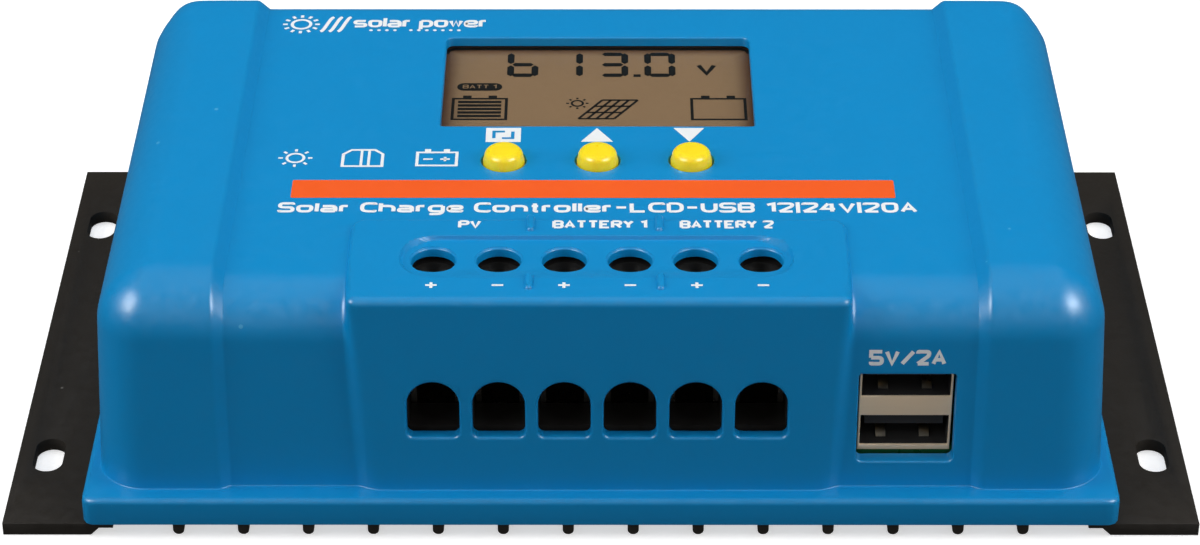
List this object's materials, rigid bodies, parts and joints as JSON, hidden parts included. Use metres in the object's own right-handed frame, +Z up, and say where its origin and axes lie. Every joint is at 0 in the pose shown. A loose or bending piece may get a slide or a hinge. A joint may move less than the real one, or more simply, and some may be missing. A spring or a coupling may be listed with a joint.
{
  "type": "charge controller",
  "caption": "Solar charge controller with a finned flanged heatsink, blue casing, display window, push buttons, rising-clamp wire terminals and a double USB socket.",
  "frame": {"origin": "centre of the underside of the mounting flanges", "axes": "+X along the width, to the side with the USB socket; +Y to the back, away from the terminals; +Z up, out of the display"},
  "size_m": [0.17, 0.097, 0.0386],
  "materials": {
    "anodised_black": "black anodised, satin",
    "casing_blue": "satin moulded, blue",
    "zinc_steel": "zinc plated",
    "clear_window": "clear, polished",
    "lcd_film": "reflective grey-green film",
    "lcd_ink": "dark display segments",
    "black_plastic": "moulded, matt",
    "white_plastic": "light diffuser",
    "tin": "tinned",
    "circuit_board": "green solder mask",
    "chip_epoxy": "moulded epoxy",
    "button_yellow": "satin moulded, yellow",
    "spacer_brass": "turned",
    "terminal_plastic": "moulded, dark",
    "nickel_cage": "nickel plated",
    "contact_copper": "tinned copper",
    "usb_steel": "nickel plated, warm",
    "gold_contact": "gold flashed",
    "gap_pad": "silicone pad",
    "bar_aluminium": "sawn and deburred",
    "capacitor_sleeve": "shrunk sleeve",
    "ferrite": "sintered",
    "print_white": "pad-printed ink",
    "print_orange": "pad-printed ink"
  },
  "bodies": {
    "controller": {"heatsink": "anodised_black", "casing": "casing_blue", "casing_screws": "zinc_steel", "display_window": "clear_window", "lcd_glass": "lcd_film", "lcd_frame": "black_plastic", "backlight_panel": "white_plastic", "lcd_pins": "tin", "display_board": "circuit_board", "display_board_screws": "zinc_steel", "display_driver": "chip_epoxy", "button_switches": "black_plastic", "main_board": "circuit_board", "main_board_screws": "zinc_steel", "board_spacers": "spacer_brass", "link_socket": "black_plastic", "link_header": "black_plastic", "terminal_housing": "terminal_plastic", "contact_bars": "contact_copper", "usb_shell": "usb_steel", "usb_insulator": "black_plastic", "usb_contacts": "gold_contact", "power_transistors": "chip_epoxy", "thermal_pad": "gap_pad", "clamp_bar": "bar_aluminium", "clamp_bar_screws": "zinc_steel", "capacitors": "capacitor_sleeve", "inductor": "ferrite", "diodes": "chip_epoxy", "current_shunts": "contact_copper", "microcontroller": "chip_epoxy", "temperature_sensor": "chip_epoxy"},
    "menu_button": {"menu_button": "button_yellow", "menu_plunger": "black_plastic"},
    "up_button": {"up_button": "button_yellow", "up_plunger": "black_plastic"},
    "down_button": {"down_button": "button_yellow", "down_plunger": "black_plastic"},
    "terminal_screw_1": {"terminal_screw_1": "zinc_steel"},
    "clamp_cage_1": {"clamp_cage_1": "nickel_cage"},
    "terminal_screw_2": {"terminal_screw_2": "zinc_steel"},
    "clamp_cage_2": {"clamp_cage_2": "nickel_cage"},
    "terminal_screw_3": {"terminal_screw_3": "zinc_steel"},
    "clamp_cage_3": {"clamp_cage_3": "nickel_cage"},
    "terminal_screw_4": {"terminal_screw_4": "zinc_steel"},
    "clamp_cage_4": {"clamp_cage_4": "nickel_cage"},
    "terminal_screw_5": {"terminal_screw_5": "zinc_steel"},
    "clamp_cage_5": {"clamp_cage_5": "nickel_cage"},
    "terminal_screw_6": {"terminal_screw_6": "zinc_steel"},
    "clamp_cage_6": {"clamp_cage_6": "nickel_cage"}
  },
  "joints": [
    {"name": "menu_press", "type": "slide", "parent": "controller", "child": "menu_button", "axis": [0, 0, -1], "range_m": [0, 0.0005], "stiffness_N_per_m": 1200, "springref_m": -0.0005},
    {"name": "up_press", "type": "slide", "parent": "controller", "child": "up_button", "axis": [0, 0, -1], "range_m": [0, 0.0005], "stiffness_N_per_m": 1200, "springref_m": -0.0005},
    {"name": "down_press", "type": "slide", "parent": "controller", "child": "down_button", "axis": [0, 0, -1], "range_m": [0, 0.0005], "stiffness_N_per_m": 1200, "springref_m": -0.0005},
    {"name": "screw_1_turn", "type": "hinge", "parent": "controller", "child": "terminal_screw_1", "pos_m": [-0.0235, -0.03265, 0.028], "axis": [0, 0, -1], "range_deg": [0, 1800]},
    {"name": "cage_1_lift", "type": "slide", "parent": "controller", "child": "clamp_cage_1", "axis": [0, 0, 1], "range_m": [0, 0.0035]},
    {"name": "screw_2_turn", "type": "hinge", "parent": "controller", "child": "terminal_screw_2", "pos_m": [-0.0143, -0.03265, 0.028], "axis": [0, 0, -1], "range_deg": [0, 1800]},
    {"name": "cage_2_lift", "type": "slide", "parent": "controller", "child": "clamp_cage_2", "axis": [0, 0, 1], "range_m": [0, 0.0035]},
    {"name": "screw_3_turn", "type": "hinge", "parent": "controller", "child": "terminal_screw_3", "pos_m": [-0.0051, -0.03265, 0.028], "axis": [0, 0, -1], "range_deg": [0, 1800]},
    {"name": "cage_3_lift", "type": "slide", "parent": "controller", "child": "clamp_cage_3", "axis": [0, 0, 1], "range_m": [0, 0.0035]},
    {"name": "screw_4_turn", "type": "hinge", "parent": "controller", "child": "terminal_screw_4", "pos_m": [0.0041, -0.03265, 0.028], "axis": [0, 0, -1], "range_deg": [0, 1800]},
    {"name": "cage_4_lift", "type": "slide", "parent": "controller", "child": "clamp_cage_4", "axis": [0, 0, 1], "range_m": [0, 0.0035]},
    {"name": "screw_5_turn", "type": "hinge", "parent": "controller", "child": "terminal_screw_5", "pos_m": [0.0133, -0.03265, 0.028], "axis": [0, 0, -1], "range_deg": [0, 1800]},
    {"name": "cage_5_lift", "type": "slide", "parent": "controller", "child": "clamp_cage_5", "axis": [0, 0, 1], "range_m": [0, 0.0035]},
    {"name": "screw_6_turn", "type": "hinge", "parent": "controller", "child": "terminal_screw_6", "pos_m": [0.0225, -0.03265, 0.028], "axis": [0, 0, -1], "range_deg": [0, 1800]},
    {"name": "cage_6_lift", "type": "slide", "parent": "controller", "child": "clamp_cage_6", "axis": [0, 0, 1], "range_m": [0, 0.0035]}
  ],
  "couplings": [
    {"joint": "screw_1_turn", "follows": "cage_1_lift", "rad_per_m": 8975.9},
    {"joint": "screw_2_turn", "follows": "cage_2_lift", "rad_per_m": 8975.9},
    {"joint": "screw_3_turn", "follows": "cage_3_lift", "rad_per_m": 8975.9},
    {"joint": "screw_4_turn", "follows": "cage_4_lift", "rad_per_m": 8975.9},
    {"joint": "screw_5_turn", "follows": "cage_5_lift", "rad_per_m": 8975.9},
    {"joint": "screw_6_turn", "follows": "cage_6_lift", "rad_per_m": 8975.9}
  ]
}
